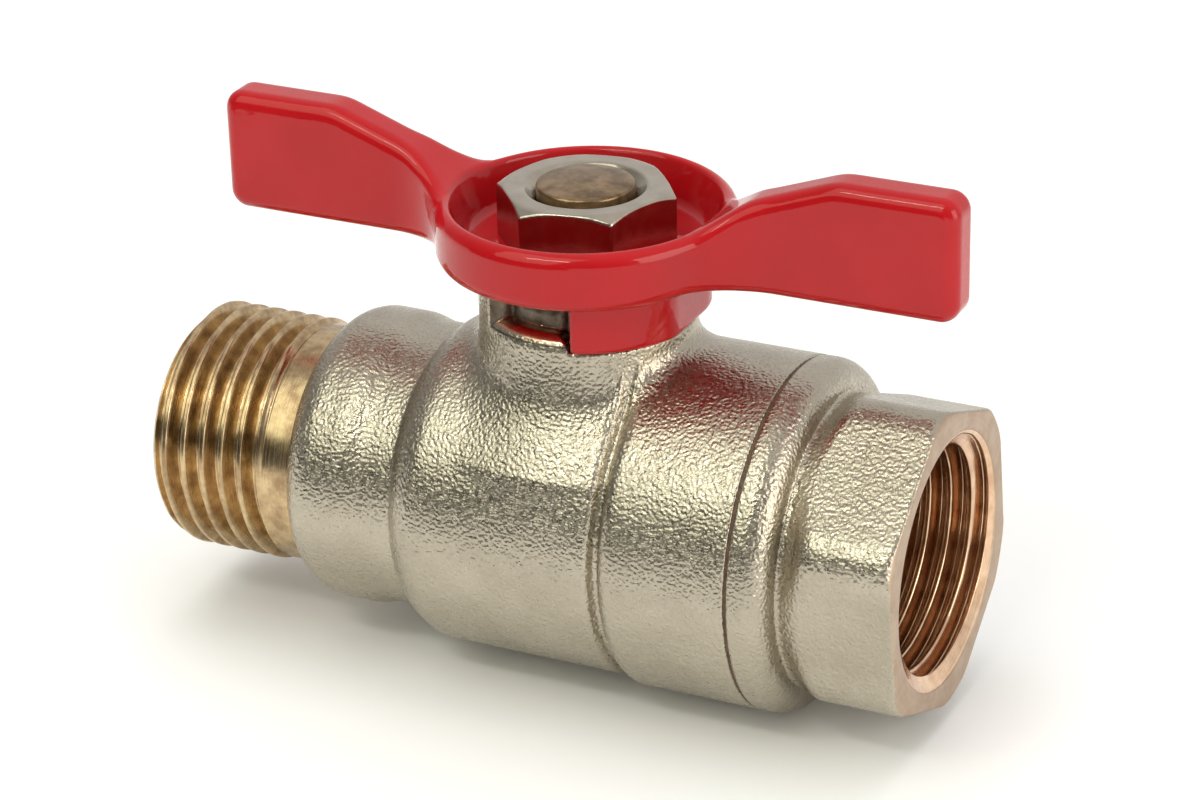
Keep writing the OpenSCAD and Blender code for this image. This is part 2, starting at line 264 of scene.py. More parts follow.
def noise(tree, size_mm, detail, rough=0.5, axis=None):
    """Noise whose features are about so many millimetres."""
    node = add(tree, "ShaderNodeTexNoise", Scale=1 / (size_mm * MM), Detail=detail, Roughness=rough)
    tree.links.new(surface_point(tree, axis), node.inputs["Vector"])
    return node.outputs["Fac"]


def ramp(tree, factor, stops):
    """Colour ramp over a factor, from stops of (position, colour)."""
    node = add(tree, "ShaderNodeValToRGB")
    elements = node.color_ramp.elements
    while len(elements) < len(stops):
        elements.new(0.5)
    for element, (position, color) in zip(elements, stops):
        element.position = position
        element.color = (*color, 1)
    tree.links.new(factor, node.inputs["Fac"])
    return node.outputs["Color"]


def patches(tree, size_mm, detail, low, high, start=0.3, end=0.7, rough=0.5, axis=None):
    """Patches of noise that run from one colour, or grey, to another."""
    low, high = (value if isinstance(value, tuple) else (value,) * 3 for value in (low, high))
    return ramp(tree, noise(tree, size_mm, detail, rough, axis), [(start, low), (end, high)])


def relief(tree, layers):
    """Bump in layers from the lowest up, each (size, detail, depth) in millimetres, and an axis for marks."""
    normal = None
    for size_mm, detail, depth_mm, *axis in layers:
        node = add(tree, "ShaderNodeBump", Strength=1.0, Distance=depth_mm * MM)
        tree.links.new(noise(tree, size_mm, detail, 0.5, *axis), node.inputs["Height"])
        if normal is not None:
            tree.links.new(normal, node.inputs["Normal"])
        normal = node.outputs["Normal"]
    return normal


def finish(name, color, roughness, layers, **sockets):
    """A material with patchy colour and roughness, and layers of relief."""
    made, tree, shader = material(name, **sockets)
    normal = relief(tree, layers)
    tree.links.new(patches(tree, **color), shader.inputs["Base Color"])
    tree.links.new(patches(tree, **roughness), shader.inputs["Roughness"])
    tree.links.new(normal, shader.inputs["Normal"])
    if "Coat_Weight" in sockets:
        tree.links.new(normal, shader.inputs["Coat Normal"])
    return made


def turned_brass(name, axis, light, dark, roughness):
    """Raw machined brass with turning marks and a slight tarnish."""
    return finish(
        name,
        color=dict(size_mm=1.6, detail=5, low=dark, high=light, start=0.35, end=0.62, rough=0.6),
        roughness=dict(size_mm=0.15, detail=3, low=roughness, high=roughness + 0.12, axis=axis),
        layers=[(0.9, 3, 0.012), (0.09, 2, 0.006, axis)],
        Metallic=1.0)


# Plating over a shot-blasted forging: pebbled all over
nickel = finish(
    "blasted_nickel",
    color=dict(size_mm=5, detail=3, low=(0.425, 0.38, 0.302), high=(0.50, 0.45, 0.362)),
    roughness=dict(size_mm=0.5, detail=2, low=0.24, high=0.36),
    layers=[(2.2, 2, 0.02), (0.28, 0, 0.085), (0.14, 0, 0.02)],
    Metallic=1.0)

# Plating over machined metal: smooth, with faint turning marks
bright_nickel = finish(
    "bright_nickel",
    color=dict(size_mm=2, detail=3, low=(0.40, 0.355, 0.29), high=(0.48, 0.43, 0.35)),
    roughness=dict(size_mm=0.8, detail=3, low=0.14, high=0.24, end=0.75),
    layers=[(1.6, 2, 0.05), (0.07, 2, 0.003, "Z")],
    Metallic=1.0)

# Plating darkened to paint the shade that the handle casts into the cut: dark, a little brown and dull
shaded_nickel = finish(
    "shaded_nickel",
    color=dict(size_mm=1.2, detail=4, low=(0.10, 0.075, 0.055), high=(0.24, 0.20, 0.16)),
    roughness=dict(size_mm=0.4, detail=2, low=0.35, high=0.55),
    layers=[(0.3, 2, 0.05)],
    Metallic=1.0)

thread_brass = turned_brass("thread_brass", "X", (0.65, 0.485, 0.28), (0.36, 0.24, 0.135), 0.18)
# Inside the bores the brass is paler than on the thread: painted light for the bores, which the lamps hardly
# reach
bore_brass_painted_light = turned_brass("bore_brass_painted_light", "X", (0.80, 0.56, 0.38), (0.62, 0.39, 0.25), 0.14)
face_brass = turned_brass("face_brass", "X", (0.50, 0.385, 0.29), (0.43, 0.315, 0.23), 0.4)
stem_brass = turned_brass("stem_brass", "Z", (0.36, 0.24, 0.135), (0.15, 0.095, 0.05), 0.24)
gland_brass = turned_brass("gland_brass", "Z", (0.70, 0.48, 0.22), (0.58, 0.36, 0.15), 0.25)

# Stoved paint with a slight orange peel under its gloss
gloss_red = finish(
    "gloss_red",
    color=dict(size_mm=7, detail=3, low=(0.38, 0.0035, 0.006), high=(0.43, 0.0055, 0.0095)),
    roughness=dict(size_mm=0.3, detail=2, low=0.36, high=0.46),
    layers=[(1.7, 2, 0.022), (0.35, 1, 0.002)],
    Coat_Weight=1.0, Coat_Roughness=0.05, Coat_IOR=1.38, Specular_IOR_Level=0.05)

ptfe = finish(
    "waxy_ptfe",
    color=dict(size_mm=2, detail=3, low=(0.80, 0.79, 0.74), high=(0.88, 0.87, 0.83)),
    roughness=dict(size_mm=0.5, detail=2, low=0.35, high=0.5),
    layers=[(0.2, 2, 0.006)],
    Subsurface_Weight=0.3, Subsurface_Scale=0.002)

sealant = finish(
    "cured_sealant",
    color=dict(size_mm=0.8, detail=4, low=(0.055, 0.028, 0.014), high=(0.13, 0.07, 0.035)),
    roughness=dict(size_mm=0.3, detail=2, low=0.4, high=0.7),
    layers=[(0.3, 3, 0.03)])

chrome = finish(
    "polished_chrome",
    color=dict(size_mm=3, detail=2, low=(0.70, 0.70, 0.71), high=(0.78, 0.78, 0.78)),
    roughness=dict(size_mm=0.3, detail=4, low=0.05, high=0.11, start=0.4),
    layers=[(0.2, 3, 0.0006)],
    Metallic=1.0)

# ---------------------------------------------------------------- shared sizes, in millimetres and degrees

PIPE_MAJOR, PIPE_HEIGHT, PIPE_PITCH, PIPE_FLANK = 10.4775, 1.162, 1.814, 27.5
FINE_HEIGHT, FINE_PITCH, METRIC_FLANK = 0.54, 1.0, 30
STEM_R, STEM_HEIGHT, STEM_PITCH = 4.0, 0.68, 1.25
STEM_FLAT_HALF = 3.2
FLOW_R = 7.0
SEAT_POCKET_R, SEAT_BACK_X = 9.65, 10.35
SLEEVE_R, SLEEVE_THREAD_R, SLEEVE_THREAD_X = 14.6, 12.3, 8.6
SEAM_X, SEAM_EDGE = body_high[0], 0.15
FIT = 0.05  # gap between pieces that touch
FAR = 60  # past every surface of the valve
DEEP = -50  # distance that stands for deep inside, before a solid's sides are cut
PAST = 1  # how far a shape runs on inside another, or past the end of its curve
CURVE_STEP, THREAD_STEP = 0.05, 0.06
FINE_VOXEL, STEM_VOXEL, HANDLE_VOXEL, BODY_VOXEL = 0.1, 0.12, 0.16, 0.17
turn = np.linspace(0, 2 * math.pi, 300, endpoint=False)

# ---------------------------------------------------------------- body

SHOULDER_X, SHOULDER_EDGE, SQUARE_EDGE = -23.4, 3.2, 0.01
VALLEY_R, RING_R, RING_RIGHT_X, RING_EDGE, RING_BLEND = 12.0, 12.5, -15.6, 1.8, 3
CHAMBER_R, CHAMBER_LEFT_X, CHAMBER_RIGHT_X, CHAMBER_LEFT_EDGE, CHAMBER_RIGHT_EDGE = 14.1, -13.2, 6.2, 4, 0.6
GROOVE_R, GROOVE_LEFT_X, GROOVE_RIGHT_X = 13.3, 5, 8
SLEEVE_LEFT_X, SLEEVE_EDGE = 6.9, 1.3
PROFILE_BLEND = 0.8
BOSS_R, BOSS_TOP, BOSS_EDGE, BOSS_FILLET = 8.9, body_high[2], 0.35, 1.6
FLARE_BASE, FLARE_TOP, FLARE_ARC, FLARE_R, FLARE_BLEND = 2, 16.4, 15.3, 12.25, 1
CHAMBER_BORE_R, CHAMBER_BORE_X = 11.3, -7.2
STEM_BORES = ((STEM_R + 0.06, 0, FAR), (5.7, 0, 12.8), (5.35, 14, FAR))  # radius, bottom and top of each
GLAND_THREAD_R, GLAND_THREAD_Z = 6, 17
SWEEP_Z, SWEEP_EDGE, LEDGE_Z, LEDGE_EDGE, COLLAR_R = 16.7, 0.25, 17.9, 1.4, 7.0
STOP_ANGLE, WALL_ANGLE, LEDGE_ANGLE, LEDGE_LAP = -75, 120, 238, 5
BORE_EDGE = 0.2

along = np.arange(SHOULDER_X, SEAM_X + CURVE_STEP, CURVE_STEP)


def raise_band(values, r, x0, x1, edge0, edge1):
    """Raises a radius profile to a band with round edges."""
    inset0 = np.clip(x0 + edge0 - along, 0, edge0)
    inset1 = np.clip(along - x1 + edge1, 0, edge1)
    height = r - edge0 - edge1 + np.sqrt(edge0**2 - inset0**2) + np.sqrt(edge1**2 - inset1**2)
    return np.where((along >= x0) & (along <= x1), np.maximum(values, height), values)


bands = np.full_like(along, VALLEY_R)
bands = raise_band(bands, RING_R, SHOULDER_X - PAST, RING_RIGHT_X, SQUARE_EDGE, RING_EDGE)
bands = softened(along, bands, RING_BLEND)
bands = raise_band(bands, CHAMBER_R, CHAMBER_LEFT_X, CHAMBER_RIGHT_X, CHAMBER_LEFT_EDGE, CHAMBER_RIGHT_EDGE)
groove = (along > GROOVE_LEFT_X) & (along < GROOVE_RIGHT_X)
bands = np.where(groove, np.maximum(bands, GROOVE_R), bands)
bands = raise_band(bands, SLEEVE_R, SLEEVE_LEFT_X, SEAM_X + PAST, SLEEVE_EDGE, SQUARE_EDGE)
body_radius = softened(along, bands, PROFILE_BLEND)

flare_z = np.arange(FLARE_BASE, BOSS_TOP + PAST, CURVE_STEP)
flare_drop = np.clip(FLARE_TOP - flare_z, 0, None)
flare_radius = BOSS_R + FLARE_ARC - np.sqrt(np.clip(FLARE_ARC**2 - flare_drop**2, 0, None))
flare_radius = softened(flare_z, np.minimum(flare_radius, FLARE_R), FLARE_BLEND)


def body_outside(x, y, z):
    """The forging before it is cut: a turned barrel with a flared boss on top."""
    rho, s = np.hypot(y, z), np.hypot(x, y)
    barrel = profile_distance(rho, x, along, body_radius)
    barrel = rounded_and(barrel, SHOULDER_X - x, SHOULDER_EDGE)
    barrel = rounded_and(barrel, x - SEAM_X, SEAM_EDGE)
    boss = np.maximum(profile_distance(s, z, flare_z, flare_radius), -z)
    boss = rounded_and(boss, z - BOSS_TOP, BOSS_EDGE)
    return rounded_or(barrel, boss, BOSS_FILLET)


def swept_space(x, y, z, inner, floor, sides):
    """Space outside a collar and above a floor, between two sides."""
    return np.maximum(np.maximum(inner - np.hypot(x, y), floor - z), sides)


def body_field(x, y, z):
    """The forging with its bores, its threads and the cut in which the handle's skirt turns."""
    rho, s = np.hypot(y, z), np.hypot(x, y)
    inner = bore(rho, x, FLOW_R, -FAR, 0)
    inner = np.minimum(inner, bore(rho, x, SEAT_POCKET_R, -SEAT_BACK_X, 0))
    inner = np.minimum(inner, bore(rho, x, CHAMBER_BORE_R, CHAMBER_BORE_X, FAR))
    sleeve = thread_radius(SLEEVE_THREAD_R, FINE_HEIGHT, FINE_PITCH, METRIC_FLANK, x, np.arctan2(z, y))
    inner = np.minimum(inner, bore(rho, x, sleeve, SLEEVE_THREAD_X, FAR))
    for r, bottom, top in STEM_BORES:
        inner = np.minimum(inner, bore(s, z, r, bottom, top))
    gland = thread_radius(GLAND_THREAD_R, FINE_HEIGHT, FINE_PITCH, METRIC_FLANK, z, np.arctan2(y, x))
    inner = np.minimum(inner, bore(s, z, gland, GLAND_THREAD_Z, FAR))
    stop, wall, ledge, behind_stop = (
        across[0] * x + across[1] * y
        for across in map(side_of, (STOP_ANGLE, WALL_ANGLE, LEDGE_ANGLE, STOP_ANGLE + LEDGE_LAP)))
    sweep = swept_space(x, y, z, COLLAR_R, SWEEP_Z, np.minimum(-stop, wall))
    worn = rounded_and(body_outside(x, y, z), -sweep, SWEEP_EDGE)
    low_ledge = swept_space(x, y, z, COLLAR_R + 0.1, LEDGE_Z, np.maximum(-ledge, behind_stop))
    worn = rounded_and(worn, -low_ledge, LEDGE_EDGE)
    return rounded_and(worn, -inner, BORE_EDGE)


# Male thread: rings over the thread, round the inner edge and back along the bore
MALE_END_X, MALE_ROOT_X = body_low[0], SHOULDER_X + 0.2
LAND_X, LAND_R, LAND_LEAD, LAND_RUN = -25.9, 10.15, 0.5, 0.7
TIP_R, TIP_L, INNER_BEVEL, BEVEL_RINGS, BORE_INSET = 9.2, 1.1, 0.8, (0.2, 0.1, 0), 4

loops = []
for x in np.append(np.arange(MALE_END_X, MALE_ROOT_X, THREAD_STEP), MALE_ROOT_X):
    radius = thread_radius(PIPE_MAJOR, PIPE_HEIGHT, PIPE_PITCH, PIPE_FLANK, x - MALE_END_X, turn)
    fade = np.clip((x - LAND_X + LAND_LEAD) / LAND_RUN, 0, 1)
    radius = radius * (1 - fade) + LAND_R * fade
    radius = np.minimum(radius, TIP_R + (x - MALE_END_X) * (PIPE_MAJOR - TIP_R) / TIP_L)
    loops.append(pipe_ring(x, radius, turn))
for x in (MALE_ROOT_X, MALE_ROOT_X - BORE_INSET, MALE_END_X + BORE_INSET, MALE_END_X + INNER_BEVEL):
    loops.append(pipe_ring(x, FLOW_R, turn))
for inset in BEVEL_RINGS:
    loops.append(pipe_ring(MALE_END_X + inset, FLOW_R + INNER_BEVEL - inset, turn))
male_thread = rings_mesh(np.array(loops))

forging = level_set(body_field, (SHOULDER_X, body_low[1], body_low[2]), body_high, BODY_VOXEL)
points, quads = joined(forging, male_thread)
body = new_object("body_detail", points, quads, "valve_body", "body",
                  [nickel, shaded_nickel, bore_brass_painted_light, thread_brass])

# Plating outside, plating with painted shade on the cut's upright faces, brass made paler to paint light
# inside, raw brass on the thread
PLATED, PAINTED_SHADE, RAW, THREAD = range(4)
INSIDE, CUT, PACKING_WALL_R, CUT_LOW_Z, UPRIGHT = -0.3, -0.12, 6.4, 16, 0.5
centre, normal = face_facts(points, quads)
depth = body_outside(*centre.T)
stem_side = np.hypot(centre[:, 0], centre[:, 1])
index = np.where(depth < INSIDE, RAW, PLATED)
in_cut = (depth < CUT) & (stem_side > PACKING_WALL_R) & (centre[:, 2] > CUT_LOW_Z)
# upright faces in the cut take the darkened nickel, which paints the handle's shade
index[in_cut & (normal[:, 2] < UPRIGHT)] = PAINTED_SHADE
index[len(forging[1]):] = THREAD
paint_faces(body, index)

# ---------------------------------------------------------------- end connector

FLANGE_LEFT, FLANGE_RIGHT, FLANGE_EDGE, NECK_R, NECK_FILLET = 18.35, 21.4, 2.2, 12.0, 0.3
HEX_LEFT, HEX_APOTHEM, HEX_PHASE, HEX_EDGE, HEX_FILLET = 22.3, 12.2, 8, 0.3, 0.45
HEX_TRIM_R, HEX_TRIM_EDGE = 13.5, 0.4
LEFT_CONE, LEFT_CONE_EDGE = (12, 1.7, 1.5), 0.5  # radius at the end, length and rise
FACE_CONE, FACE_CONE_EDGE = (12.95, 0.5, 0.55), 0.25
FACE_EDGE, RIM_EDGE = 0.2, 0.15
NOSE_R = 11.2
END_X = connector_high[0]
FEMALE_BOTTOM = 17.9
HOLE_R, LINER_R = PIPE_MAJOR + 0.15, PIPE_MAJOR + 0.5
MOUTH_R, MOUTH_L = 10.85, 0.8
mouth_slope = (MOUTH_R - (PIPE_MAJOR - PIPE_HEIGHT)) / MOUTH_L


def mouth_radius(x):
    """Radius of the bevel at the mouth of the female thread."""
    return MOUTH_R - (END_X - x) * mouth_slope


def connector_outside(x, y, z):
    """Flange, neck and trimmed hexagon."""
    rho = np.hypot(y, z)
    flange = band(rho, x, SLEEVE_R, FLANGE_LEFT, FLANGE_RIGHT, SEAM_EDGE, FLANGE_EDGE)
    neck = np.maximum(rho - NECK_R, np.maximum(FLANGE_LEFT + 0.5 - x, x - HEX_LEFT - PAST))
    hexagon = rho * 0 + DEEP
    for k in range(6):
        a = math.radians(HEX_PHASE + 60 * k)
        hexagon = rounded_and(hexagon, math.cos(a) * y + math.sin(a) * z - HEX_APOTHEM, HEX_EDGE)
    hexagon = rounded_and(hexagon, rho - HEX_TRIM_R, HEX_TRIM_EDGE)
    hexagon = rounded_and(hexagon, cone(rho, x - HEX_LEFT, *LEFT_CONE), LEFT_CONE_EDGE)
    hexagon = np.maximum(hexagon, HEX_LEFT - x)
    hexagon = rounded_and(hexagon, cone(rho, END_X - x, *FACE_CONE), FACE_CONE_EDGE)
    hexagon = rounded_and(hexagon, x - END_X, FACE_EDGE)
    return rounded_or(rounded_or(flange, neck, NECK_FILLET), hexagon, HEX_FILLET)


def connector_field(x, y, z):
    """The connector with its threaded spigot and its bores."""
    rho, around = np.hypot(y, z), np.arctan2(z, y)
    outside = connector_outside(x, y, z)
    thread = thread_radius(SLEEVE_THREAD_R - FIT, FINE_HEIGHT, FINE_PITCH, METRIC_FLANK, x, around)
    nose = np.where(x < SLEEVE_THREAD_X + 0.2, NOSE_R, thread)
    spigot = np.maximum(rho - nose, np.maximum(connector_low[0] - x, x - FLANGE_LEFT - PAST))
    outside = np.minimum(outside, spigot)
    inner = bore(rho, x, SEAT_POCKET_R, -FAR, SEAT_BACK_X)
    inner = np.minimum(inner, bore(rho, x, FLOW_R, 0, FAR))
    inner = np.minimum(inner, bore(rho, x, np.maximum(HOLE_R, mouth_radius(x)), FEMALE_BOTTOM, FAR))
    return rounded_and(outside, -inner, RIM_EDGE)


# Female thread: a threaded liner that fills the hole, from the mouth down and back inside the wall
liner_end = END_X - (MOUTH_R - HOLE_R) / mouth_slope - 0.02
loops = []
for x in np.append(np.arange(FEMALE_BOTTOM, liner_end, THREAD_STEP), liner_end):
    radius = thread_radius(PIPE_MAJOR, PIPE_HEIGHT, PIPE_PITCH, PIPE_FLANK, x - END_X, turn)
    loops.append(pipe_ring(x, np.maximum(radius, mouth_radius(x)), turn))
for x in (liner_end, (liner_end + FEMALE_BOTTOM) / 2, FEMALE_BOTTOM):
    loops.append(pipe_ring(x, LINER_R, turn))
female_thread = rings_mesh(np.array(loops))

forging = level_set(connector_field, connector_low, connector_high, BODY_VOXEL)
points, quads = joined(forging, female_thread)
connector = new_object("end_connector_detail", points, quads, "valve_body", "end_connector",
                       [nickel, face_brass, bore_brass_painted_light])

# Plating outside, bare machined brass on the end face, and inside a paler brass that paints in light
PLATED, FACE, RAW = range(3)
FACE_DEPTH, SQUARE_ON = 0.3, 0.75
centre, normal = face_facts(points, quads)
index = np.where(connector_outside(*centre.T) < INSIDE, RAW, PLATED)
mouth = (centre[:, 0] > END_X - MOUTH_L) & (np.hypot(centre[:, 1], centre[:, 2]) < MOUTH_R + 0.1)
index[(centre[:, 0] > END_X - FACE_DEPTH) & (normal[:, 0] > SQUARE_ON) | mouth] = FACE
index[len(forging[1]):] = RAW
paint_faces(connector, index)

# ---------------------------------------------------------------- handle

HUB_R, HUB_TOP, HUB_FLOOR, HUB_BASE = 12.2, 26.4, 22.8, 21.4
RECESS_FLOOR_R, RECESS_WIDENING, RECESS_EDGE, RIM_ROUND = 9.9, 1.15, 0.7, 0.4
WING_REACH, WING_HALF, WING_TOP, WING_BASE = handle_high[0], 2.0, handle_high[2], 21.2
WING_ROOT_X, WING_BEND_X, WING_SHOULDER_X, WING_BEND_Z, WING_BLEND = 11, 14.8, 22, 28.9, 3
WING_CORNER, WING_FILLET, OUTLINE_EDGE = 1.6, 7.0, 1.2
SKIRT_INNER, SKIRT_OUTER, SKIRT_BASE, SKIRT_FLAT_X = 7.3, 10.0, handle_low[2], 9.3
SKIRT_START, SKIRT_END = -73, 28
SKIRT_BASE_EDGE, SKIRT_SIDE_EDGE, SKIRT_FLAT_EDGE, SKIRT_FILLET = 0.5, 0.45, 0.3, 0.35
FLATS_EDGE = 0.2
fillet_y = WING_HALF + WING_FILLET
fillet_x = math.sqrt((HUB_R + WING_FILLET) ** 2 - fillet_y**2)
touch_x = fillet_x * HUB_R / (HUB_R + WING_FILLET)
reach = np.arange(0, WING_REACH + 4, CURVE_STEP)
wing_top = np.interp(reach, [WING_ROOT_X, WING_BEND_X, WING_SHOULDER_X], [HUB_TOP, WING_BEND_Z, WING_TOP])
wing_base = np.interp(reach, [WING_ROOT_X, WING_BEND_X], [HUB_BASE, WING_BASE])
wing_top, wing_base = (softened(reach, curve, WING_BLEND) for curve in (wing_top, wing_base))


def handle_plan(x, y):
    """Distance to the outline seen from above: hub, wings and the hollow fillets between them."""
    far, side = np.abs(x), np.abs(y)
    back = np.clip(fillet_x - far, 0, fillet_x - touch_x)
    rise = np.sqrt(WING_FILLET**2 - back**2)
    wing = (side - fillet_y + rise) / np.sqrt(1 + (back / rise) ** 2)
    return np.where(far < touch_x, np.hypot(x, y) - HUB_R, wing)


def handle_field(x, y, z):
    """Hub and wings, with the recess for the nut, the skirt below and the hole with two flats."""
    s, far = np.hypot(x, y), np.abs(x)
    top = profile_distance(z, far, reach, wing_top)
    base = -profile_distance(z, far, reach, wing_base)
    top, base = (rounded_and(surface, far - WING_REACH, WING_CORNER) for surface in (top, base))
    solid = rounded_and(handle_plan(x, y), np.maximum(top, base), OUTLINE_EDGE)
    hub_depth = HUB_TOP - HUB_FLOOR
    recess_r = RECESS_FLOOR_R + np.clip(z - HUB_FLOOR, 0, hub_depth) * RECESS_WIDENING / hub_depth
    recess = rounded_and(s - recess_r, HUB_FLOOR - z, RECESS_EDGE)
    solid = rounded_and(solid, -recess, RIM_ROUND)
    start, end = (across[0] * x + across[1] * y for across in map(side_of, (SKIRT_START, SKIRT_END)))
    skirt = rounded_and(s - SKIRT_OUTER, SKIRT_BASE - z, SKIRT_BASE_EDGE)
    skirt = rounded_and(skirt, -start, SKIRT_SIDE_EDGE)
    skirt = rounded_and(skirt, end, SKIRT_SIDE_EDGE)
    skirt = rounded_and(skirt, x - SKIRT_FLAT_X, SKIRT_FLAT_EDGE)
    skirt = np.maximum(np.maximum(skirt, SKIRT_INNER - s), z - HUB_FLOOR + 0.5)
    solid = rounded_or(solid, skirt, SKIRT_FILLET)
    flats = np.maximum(s - STEM_R - FIT, far - STEM_FLAT_HALF - FIT)
    return rounded_and(solid, -flats, FLATS_EDGE)


points, quads = level_set(handle_field, handle_low, handle_high, HANDLE_VOXEL)
new_object("handle_detail", points, quads, "stem_and_handle", "handle", [gloss_red])

# ---------------------------------------------------------------- handle nut

NUT_APOTHEM, NUT_PHASE, NUT_EDGE = 6.5, 11, 0.15
NUT_CROWN, CROWN_EDGE, NUT_MOUTH, MOUTH_EDGE = 6.55, 0.15, 1.0, 0.12
NUT_TOP, NUT_TOP_EDGE = nut_high[2], 0.12


def nut_field(x, y, z):
    """Hexagon with a turned crown, a threaded hole and a countersunk mouth."""
    s, around = np.hypot(x, y), np.arctan2(y, x)
    nut = s * 0 + z * 0 + DEEP
    for k in range(6):
        a = math.radians(NUT_PHASE + 30 + 60 * k)
        nut = rounded_and(nut, math.cos(a) * x + math.sin(a) * y - NUT_APOTHEM, NUT_EDGE)
    crown = (s - NUT_CROWN) * 0.5 - (NUT_TOP - z) * math.cos(math.radians(METRIC_FLANK))
    nut = rounded_and(nut, crown, CROWN_EDGE)
    nut = rounded_and(nut, z - NUT_TOP, NUT_TOP_EDGE)
    nut = np.maximum(nut, HUB_FLOOR - z)
    hole = s - thread_radius(STEM_R + FIT, STEM_HEIGHT, STEM_PITCH, METRIC_FLANK, z, around)
    mouth = (s - STEM_R - NUT_MOUTH + (NUT_TOP - z)) * math.cos(math.radians(45))
    return rounded_and(nut, -np.minimum(hole, mouth), MOUTH_EDGE)


points, quads = level_set(nut_field, nut_low, nut_high, FINE_VOXEL)
new_object("handle_nut_detail", points, quads, "stem_and_handle", "handle_nut",
           [bright_nickel])

# ---------------------------------------------------------------- stem

STEM_TOP, STEM_CROWN, STEM_END_EDGE = stem_high[2], 0.3, 0.2
FLAT_LOW, FLAT_HIGH, FLAT_EDGE = 20.4, HUB_FLOOR, 0.1
STEM_COLLAR_R, STEM_COLLAR_BASE, STEM_COLLAR_TOP, STEM_COLLAR_EDGE = 5.5, 10.5, 11.9, 0.15
TANG_HALF_THICK, TANG_HALF_WIDE, TANG_EDGE = 2.5, 4, 0.2


def stem_field(x, y, z):
    """Tang, collar, shaft with two flats, and the threaded end with a slight crown."""
    s, around = np.hypot(x, y), np.arctan2(y, x)
    shaft = rounded_and(s - STEM_R, z - FLAT_LOW, FLAT_EDGE)
    flats = np.maximum(s - STEM_R, np.abs(x) - STEM_FLAT_HALF)
    shaft = np.minimum(shaft, np.maximum(flats, z - FLAT_HIGH))
    crest = thread_radius(STEM_R, STEM_HEIGHT, STEM_PITCH, METRIC_FLANK, z, around)
    thread = s - np.where(z > NUT_TOP - NUT_MOUTH, STEM_R, crest)
    crowned = z - STEM_TOP + STEM_CROWN * (s / STEM_R) ** 2
    end = rounded_and(np.maximum(thread, FLAT_HIGH - z), crowned, STEM_END_EDGE)
    shaft = np.maximum(np.minimum(shaft, end), STEM_COLLAR_BASE - z)
    collar = band(s, z, STEM_COLLAR_R, STEM_COLLAR_BASE, STEM_COLLAR_TOP, STEM_COLLAR_EDGE, STEM_COLLAR_EDGE)
    tang = np.maximum(np.abs(x) - TANG_HALF_THICK, np.abs(y) - TANG_HALF_WIDE)
    tang = np.maximum(tang, s - STEM_COLLAR_R)
    tang = np.maximum(rounded_and(tang, stem_low[2] - z, TANG_EDGE), z - STEM_COLLAR_BASE - 0.5)
    return np.minimum(np.minimum(shaft, collar), tang)


points, quads = level_set(stem_field, stem_low, stem_high, STEM_VOXEL)
new_object("stem_detail", points, quads, "stem_and_handle", "stem", [stem_brass])

# ---------------------------------------------------------------- CAD nodes that stay

for node, look in {
    "joint_sealant": sealant, "ball": chrome, "seat_ring_male_side": ptfe, "seat_ring_female_side": ptfe,
    "stem_thrust_washer": ptfe, "packing_ring_lower": ptfe, "packing_ring_upper": ptfe,
    "gland_nut": gland_brass,
}.items():
    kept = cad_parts[node]
    kept.data.materials.clear()
    kept.data.materials.append(look)

# ---------------------------------------------------------------- floor and camera, in metres

scene = bpy.context.scene
scene.view_settings.view_transform = "Standard"

FLOOR_HALF, FLOOR_Z = 4.0, cad_low[2]
PAPER, FELT, DULL_ROUGHNESS = (0.92, 0.92, 0.92, 1), (0.03, 0.03, 0.03, 1), 0.9


def sheet(name, corners, look):
    """A flat studio piece that isn't part of the valve."""
    mesh = bpy.data.meshes.new(name)
    mesh.from_pydata(corners, [], [(0, 1, 2, 3)])
    mesh.materials.append(look)
    made = bpy.data.objects.new(name, mesh)
    scene.collection.objects.link(made)
    return made


paper, *_ = material("paper", Base_Color=PAPER, Roughness=DULL_ROUGHNESS)
sheet("floor", [(-FLOOR_HALF, -FLOOR_HALF, FLOOR_Z), (FLOOR_HALF, -FLOOR_HALF, FLOOR_Z),
                (FLOOR_HALF, FLOOR_HALF, FLOOR_Z), (-FLOOR_HALF, FLOOR_HALF, FLOOR_Z)], paper)

VIEW_AZ, VIEW_EL, VIEW_ROLL = math.radians(26.382), math.radians(26.585), math.radians(1.525)
VIEW_DISTANCE, VIEW_LENS, SENSOR, CLIP_START = 0.32486, 117.76, 36, 0.01
VIEW_AIM_RIGHT, VIEW_AIM_UP = 0.00051, 0.00768


def toward(azimuth, elevation):
    """Unit vector out to a direction round the valve, from angles in radians."""
    flat = math.cos(elevation)
    return Vector((math.sin(azimuth) * flat, -math.cos(azimuth) * flat, math.sin(elevation)))


right = Vector((math.cos(VIEW_AZ), math.sin(VIEW_AZ), 0))
back = toward(VIEW_AZ, VIEW_EL)
up = back.cross(right)
rolled_right = math.cos(VIEW_ROLL) * right - math.sin(VIEW_ROLL) * up
rolled_up = math.sin(VIEW_ROLL) * right + math.cos(VIEW_ROLL) * up
place = back * VIEW_DISTANCE
aim = rolled_right * VIEW_AIM_RIGHT + rolled_up * VIEW_AIM_UP
axis_z = (place - aim).normalized()
axis_x = (rolled_right - axis_z * rolled_right.dot(axis_z)).normalized()
axis_y = axis_z.cross(axis_x)
camera_data = bpy.data.cameras.new("camera")
camera_data.lens = VIEW_LENS
camera_data.sensor_width = SENSOR
camera_data.clip_start = CLIP_START
camera = bpy.data.objects.new("camera", camera_data)
rotation = Matrix((axis_x, axis_y, axis_z)).transposed().to_4x4()
camera.matrix_world = Matrix.Translation(place) @ rotation
scene.collection.objects.link(camera)
scene.camera = camera

# ---------------------------------------------------------------- light

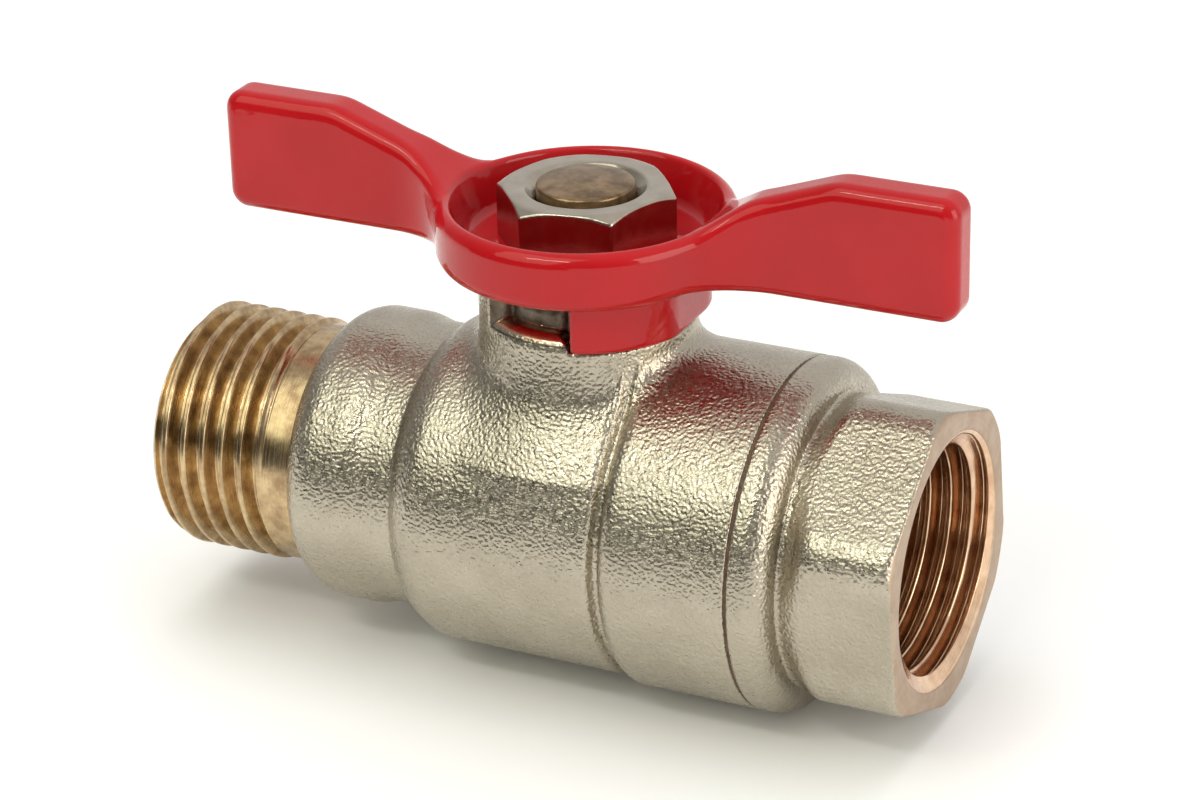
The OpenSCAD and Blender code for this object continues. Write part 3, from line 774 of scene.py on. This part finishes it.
# Azimuth and elevation in degrees, distance, width and height in metres, power in watts, colour
LIGHTS = {
    "front_softbox": (-24, 47, 0.6, 0.5, 0.6, 1.5, (0.97, 1.0, 0.82)),
    "key_lamp": (-10, 50, 0.6, 0.3, 0.024, 0.5, (1.0, 0.98, 0.92)),
    "right_softbox": (80, 18, 0.7, 0.4, 0.5, 2.0, (1.0, 0.96, 0.88)),
    "front_fill": (5, 12, 0.7, 0.5, 0.3, 0.6, (1.0, 0.98, 0.96)),
    "overhead_fill": (206, 75, 0.9, 0.8, 0.8, 3.2, (1.0, 1.0, 1.0)),
}


def softbox(name, azimuth, elevation, distance, width, height, power, color):
    """Area light that faces the valve."""
    data = bpy.data.lights.new(name, "AREA")
    data.shape = "RECTANGLE"
    data.size, data.size_y, data.energy, data.color = width, height, power, color
    light = bpy.data.objects.new(name, data)
    out = toward(math.radians(azimuth), math.radians(elevation))
    light.location = out * distance
    light.rotation_mode = "QUATERNION"
    light.rotation_quaternion = out.to_track_quat("Z", "Y")
    scene.collection.objects.link(light)
    return light


lights = {name: softbox(name, *values) for name, values in LIGHTS.items()}
for name in ("front_fill", "overhead_fill"):
    lights[name].visible_glossy = False

# A strip of black felt that only reflections show: it gives the plating its dark line above the floor
FLAG_HALF, FLAG_HEIGHT, FLAG_X, FLAG_Y, FLAG_TURN = 0.11, 0.062, -0.062, -0.122, -27
felt, *_ = material("black_felt", Base_Color=FELT, Roughness=DULL_ROUGHNESS)
flag = sheet("dark_flag", [(-FLAG_HALF, 0, 0), (FLAG_HALF, 0, 0),
                           (FLAG_HALF, 0, FLAG_HEIGHT), (-FLAG_HALF, 0, FLAG_HEIGHT)], felt)
flag.location = (FLAG_X, FLAG_Y, FLOOR_Z)
flag.rotation_euler.z = math.radians(FLAG_TURN)
flag.visible_camera = False
flag.visible_diffuse = False
flag.visible_shadow = False

# The studio's walls: dim at the front left, and brighter upward and toward the back
SKY_SLOPE, SKY_LEVEL = (0.15, 0.38, 0.3), 0.5
SKY_STOPS = [(0.22, (0.12, 0.115, 0.11)), (0.5, (0.3, 0.295, 0.285)), (0.85, (0.8, 0.79, 0.78))]
world = bpy.data.worlds.new("studio")
scene.world = world
world.use_nodes = True
sky = world.node_tree
direction = add(sky, "ShaderNodeTexCoord").outputs["Generated"]
slope = add(sky, "ShaderNodeVectorMath", operation="DOT_PRODUCT")
sky.links.new(direction, slope.inputs[0])
slope.inputs[1].default_value = SKY_SLOPE
shifted = add(sky, "ShaderNodeMath", operation="ADD")
sky.links.new(slope.outputs["Value"], shifted.inputs[0])
shifted.inputs[1].default_value = SKY_LEVEL
sky.links.new(ramp(sky, shifted.outputs[0], SKY_STOPS), sky.nodes["Background"].inputs["Color"])
